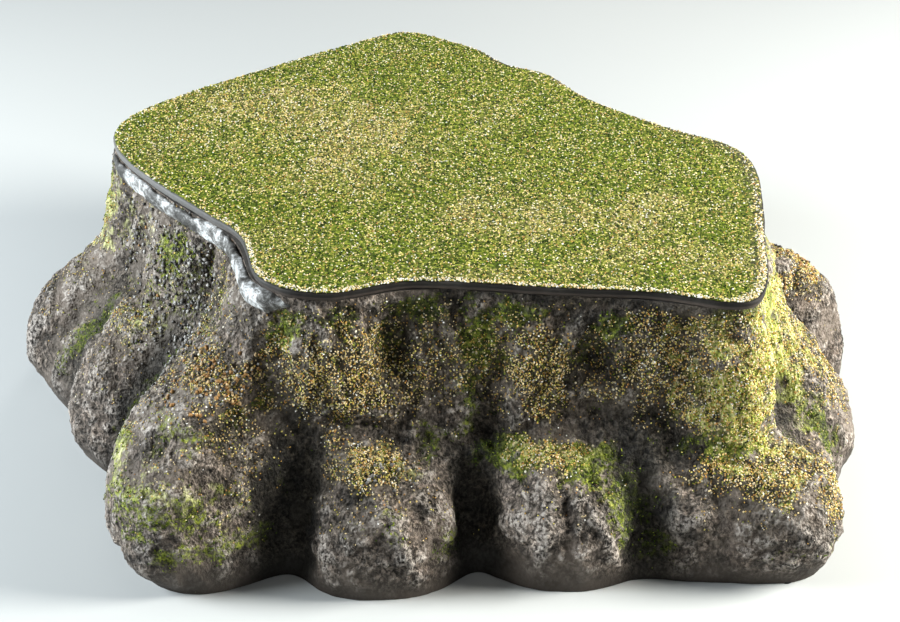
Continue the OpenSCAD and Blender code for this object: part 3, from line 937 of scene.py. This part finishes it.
def plate_piece(material):
    """The plateau's plate, with a rounded, slightly wavy and chipped edge."""
    low, high = (c[2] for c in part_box("plateau_plate"))
    directions = np.arange(0, 360, LID_STEP)
    edge = outline("plateau_plate", directions)
    spot = polar(edge, directions, 0)
    uneven = (0.5 * fractal(spot * 40, 0.9) + 0.22 * fractal(spot * 150 + 9)) * MM
    loops = []
    for out_mm, share in EDGE_SECTION:
        moved = uneven if out_mm > -2 else 0
        loops.append(polar(edge + out_mm * MM + moved, directions, low + share * (high - low)))
    piece = disc(np.array(loops), "plateau_slab", material, LID)
    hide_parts("plateau_plate")


def drift_cover(loops):
    """Drifts of sand on the coat, and the noise that breaks up their edges."""
    wobble = fractal(loops * 40 + 3) * 0.5
    drift = np.zeros(wobble.shape)
    for x, y, half_x, half_y, strength in DRIFTS:
        off = np.hypot((loops[..., 0] / MM - x) / half_x, (loops[..., 1] / MM - y) / half_y)
        drift = np.maximum(drift, strength * smoothstep(1.4 - off + 1.4 * wobble, 0, 1.3))
    return drift, wobble


def turf_piece(material):
    """The coat of sand and turf: a closed sheet whose top undulates and crumbles at its edge."""
    low, high = (c[2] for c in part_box("turf_coat"))
    directions = np.arange(0, 360, LID_STEP)
    edge = outline("turf_coat", directions)
    edge = edge + fractal(polar(edge, directions, 0) * 300, 0.7) * 0.8 * MM
    shares = np.concatenate([np.linspace(1, 0.9, 14), np.linspace(0.89, 0.01, 90)])
    top = np.array([polar(edge * s, directions, high) for s in shares])
    bumps = sampled(top * 420, noise.noise) * 0.16 + sampled(top * 30, noise.noise) * 0.22
    top[..., 2] += (bumps - 0.4) * MM
    top[0, :, 2] -= 0.35 * MM
    base = np.array([polar(edge * 0.3, directions, low), polar(edge - 0.3 * MM, directions, low)])
    loops = np.concatenate([base, top])
    piece = disc(loops, "turf_sheet", material, LID)

    drift, wobble = drift_cover(loops)
    inwards = np.concatenate([[0.3, 0], 1 - shares])[:, None] * np.linalg.norm(loops[2], axis=-1) / MM
    reach = 6 + 9 * smoothstep(loops[..., 0], 0.10, 0.17)
    bare = 1 - smoothstep((inwards + wobble * 9) / reach, 0.2, 1)
    bare *= 0.35 + 0.65 * smoothstep(loops[..., 0] * 0.8 + loops[..., 1] * 0.6, 0.02, 0.09)
    colours = np.stack([drift, bare, 0 * drift, 0 * drift + 1], axis=-1).reshape(-1, 4)
    paint(piece, "cover", np.concatenate([colours, [[0, 0, 0, 1]], [colours[-1]]]))
    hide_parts("turf_coat")
    return top, drift[2:], bare[2:]


def turf_grains(top, drift, bare, grains):
    """Sand grains and green tufts all over the coat, the sand denser in the drifts and at the front rim."""
    quads = closed_quads(np.arange(drift.size).reshape(drift.shape))
    rim = np.zeros(drift.shape)
    rim[:3] = 0.12 + 0.88 * smoothstep(-top[:3, :, 1], 0.04, 0.09)
    sand = (0.5 + 0.5 * drift + 0.5 * rim) * (1 - 0.35 * bare)
    tufts = (1 - 0.6 * drift) * (1 - 0.9 * bare)
    # Name, density, count, radius in mm, proportions, materials and their shares
    sets = (
        ("turf_sand", sand, 24800, 0.52, (1, 0.9, 0.7), "sand", (30, 12, 10, 3, 4, 10, 31)),
        ("turf_tufts", tufts, 24500, 0.55, (1.3, 0.8, 0.8), "moss", (34, 40, 26)),
        ("turf_rim_sand", rim, 2200, 0.55, (1, 0.9, 0.7), "sand", (40, 6, 40, 1, 3, 2, 8)),
    )
    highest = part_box("turf_coat")[1].z + 0.6 * MM
    for name, density, count, radius_mm, stretch, family, shares in sets:
        at, normals = scatter(top.reshape(-1, 3), quads, density.reshape(-1), count)
        normals = normals * np.sign(normals[:, 2:])
        piece = grains_piece(name, at, normals, radius_mm * MM, stretch, grains[family], shares, LID)
        co = np.empty(len(piece.data.vertices) * 3, np.float32)
        piece.data.vertices.foreach_get("co", co)
        co[2::3] = np.minimum(co[2::3], highest)
        piece.data.vertices.foreach_set("co", co)


def bead_piece(ring, material):
    """The lumpy bead of resin under the plate's edge on the left side."""
    points = np.array([v.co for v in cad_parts["rim_bead"].data.vertices])
    turns = np.degrees(np.arctan2(points[:, 1], points[:, 0])) % 360
    directions = np.linspace(turns.min(), turns.max(), BEAD_STATIONS)
    middle = sum(corner[2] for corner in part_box("rim_bead")) / 2
    nearest = np.argmin(abs(ring.outer[:, :, 2].mean(axis=1) - middle))
    row = ring.outer[nearest]
    ring_turns = ring.angles % 360
    order = np.argsort(ring_turns)
    radius = np.interp(directions, ring_turns[order], np.hypot(row[order, 0], row[order, 1]))
    radius = gaussian(radius, 4, 0, False)
    spine = polar(radius, directions, middle)
    swell = fractal(spine * 70) * 0.8
    lift = (fractal(spine * 45 + 4) * 1.2 + 0.9) * MM
    white = np.zeros(len(directions))
    for at, half, extra, whiteness in BEAD_SWELLS:
        near = 1 - smoothstep(abs(directions - at) / half, 0.2, 1.3)
        swell += extra * near
        white = np.maximum(white, whiteness * near)
    t = np.linspace(0, 1, len(directions))
    thick = (3.1 + 0.8 * swell) * np.clip(14 * t * (1 - t) + 0.12, 0, 1) * MM
    loops = []
    for k in range(BEAD_SIDES):
        turn = -2 * math.pi * k / BEAD_SIDES
        lump = sampled(spine * 200 + k * 0.41, noise.noise) * 0.5 * MM
        out = (thick * 0.8 + lump) * math.cos(turn)
        up = (thick * 1.5 + lump) * math.sin(turn) + lift
        loops.append(polar(radius + out, directions, np.minimum(middle + up, ring.top - MARGIN)))
    grid = np.array(loops).transpose(1, 0, 2)
    ids = np.arange(len(directions) * BEAD_SIDES).reshape(-1, BEAD_SIDES)
    following = np.roll(ids, -1, axis=1)
    skin = np.stack([ids[:-1], ids[1:], following[1:], following[:-1]], axis=-1).reshape(-1, 4)
    piece = new_mesh("bead_of_resin", grid.reshape(-1, 3), [skin, ids[:1], ids[-1:, ::-1]], [material])
    colours = np.ones((len(directions), BEAD_SIDES, 4))
    colours[..., 0] = white[:, None]
    paint(piece, "cover", colours)
    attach(piece, RING)
    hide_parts("rim_bead")


# ---------------------------------------------------------------- the studio

# Colour of the surround, how bright it looks to the camera, and how strongly it lights the object
SURROUND = (0.95, 0.98, 1.0)
SURROUND_SEEN = 0.60
SURROUND_LIGHT = 0.10
# Round area lights, all aimed at MIDDLE: name, place, diameter, watts, colour
MIDDLE = (0, 0, 0.07)
LIGHTS = (
    ("right_key", (1.15, -0.10, 0.62), 0.45, 36.5, (1.0, 0.98, 0.92)),
    ("left_soft", (-1.20, -0.16, 0.62), 0.6, 28, (0.90, 0.96, 1.0)),
    ("front_fill", (-0.25, -1.5, 0.60), 0.8, 1.3, (1, 1, 1)),
    ("rear_fill", (0.30, 2.6, 1.00), 0.9, 17, (1, 1, 1)),
    ("top_soft", (0, 0.10, 1.4), 0.9, 0.6, (1, 1, 1)),
)
FLOOR_HALF = 9.0


def look_at(thing, target):
    thing.rotation_euler = (Vector(target) - thing.location).to_track_quat("-Z", "Y").to_euler()


def area_light(name, at, size, power, color):
    data = bpy.data.lights.new(name, "AREA")
    data.shape = "DISK"
    data.size = size
    data.energy = power
    data.color = color
    light = bpy.data.objects.new(name, data)
    light.location = at
    look_at(light, MIDDLE)
    bpy.context.scene.collection.objects.link(light)


def studio():
    for light in LIGHTS:
        area_light(*light)
    bpy.context.scene.world = studio_world()
    bpy.context.scene.view_settings.view_transform = "Standard"
    bpy.context.scene.view_settings.look = "Medium High Contrast"
    corners = np.array([(-1, -1, 0), (1, -1, 0), (1, 1, 0), (-1, 1, 0)]) * FLOOR_HALF
    floor = new_mesh("studio_floor", corners, [np.array([[0, 1, 2, 3]])], [paper_material()])


def paper_material():
    """White paper that melts into the surround where the studio ends."""
    s = Shader("studio_paper", (0.58, 0.60, 0.60), 0.9, 0.1)
    s.set("Base Color", s.ramp(s.noise(1.2, 1), (0.3, (0.44, 0.46, 0.465)), (0.7, (0.49, 0.505, 0.5))))
    away = s.node("ShaderNodeVectorMath", {0: s.place()}, operation="LENGTH").outputs["Value"]
    fade = s.node("ShaderNodeMapRange", {"Value": away, "From Min": 0.65, "From Max": 1.8},
                  interpolation_type="SMOOTHSTEP").outputs["Result"]
    seen = s.node("ShaderNodeLightPath").outputs["Is Camera Ray"]
    glow = s.node("ShaderNodeEmission", {"Color": SURROUND, "Strength": SURROUND_SEEN})
    inputs = {0: s.math("MULTIPLY", fade, seen), 1: s.shader.outputs["BSDF"], 2: glow.outputs["Emission"]}
    blend = s.node("ShaderNodeMixShader", inputs).outputs["Shader"]
    s.tree.links.new(blend, s.tree.nodes["Material Output"].inputs["Surface"])
    return s.material


def studio_world():
    """A pale surround that is seen bright and lights the object only faintly."""
    world = bpy.data.worlds.new("studio_world")
    world.use_nodes = True
    tree = world.node_tree
    background = tree.nodes["Background"]
    background.inputs["Color"].default_value = (*SURROUND, 1)
    path = tree.nodes.new("ShaderNodeLightPath")
    strength = tree.nodes.new("ShaderNodeMapRange")
    strength.inputs["To Min"].default_value = SURROUND_LIGHT
    strength.inputs["To Max"].default_value = SURROUND_SEEN
    tree.links.new(path.outputs["Is Camera Ray"], strength.inputs["Value"])
    tree.links.new(strength.outputs["Result"], background.inputs["Strength"])
    return world


def camera():
    """Thirty-five degrees above the horizon, straight at the long front."""
    data = bpy.data.cameras.new("camera")
    data.lens = 64
    data.sensor_width = 36
    eye = bpy.data.objects.new("camera", data)
    target = Vector((0.006, -0.044, 0.080))
    distance, elevation = 0.917, math.radians(35)
    eye.location = target + distance * Vector((0, -math.cos(elevation), math.sin(elevation)))
    look_at(eye, target)
    bpy.context.scene.collection.objects.link(eye)
    bpy.context.scene.camera = eye


def coat(nodes, material):
    for name in nodes:
        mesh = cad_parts[name].data
        mesh.materials.clear()
        mesh.materials.append(material)


def main():
    camera()
    rock, resin = rock_material(), bare_resin_material()
    grains = {family: kind_materials(kinds) for family, kinds in KINDS.items()}
    ring = Ring()
    for k in range(len(CASTINGS)):
        casting_piece(ring, k, rock, resin)
    ring_cover(ring, grains)
    bead_piece(ring, bead_material())
    plate_piece(plate_material())
    top, drift, bare = turf_piece(turf_material())
    turf_grains(top, drift, bare, grains)
    nodes = sorted(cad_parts)
    coat([n for n in nodes if n.startswith("corbel")], resin)
    coat([n for n in nodes if n.startswith("foot_pad")], rubber_material())
    coat([n for n in nodes if n.startswith("peg")], peg_material())
    studio()


main()
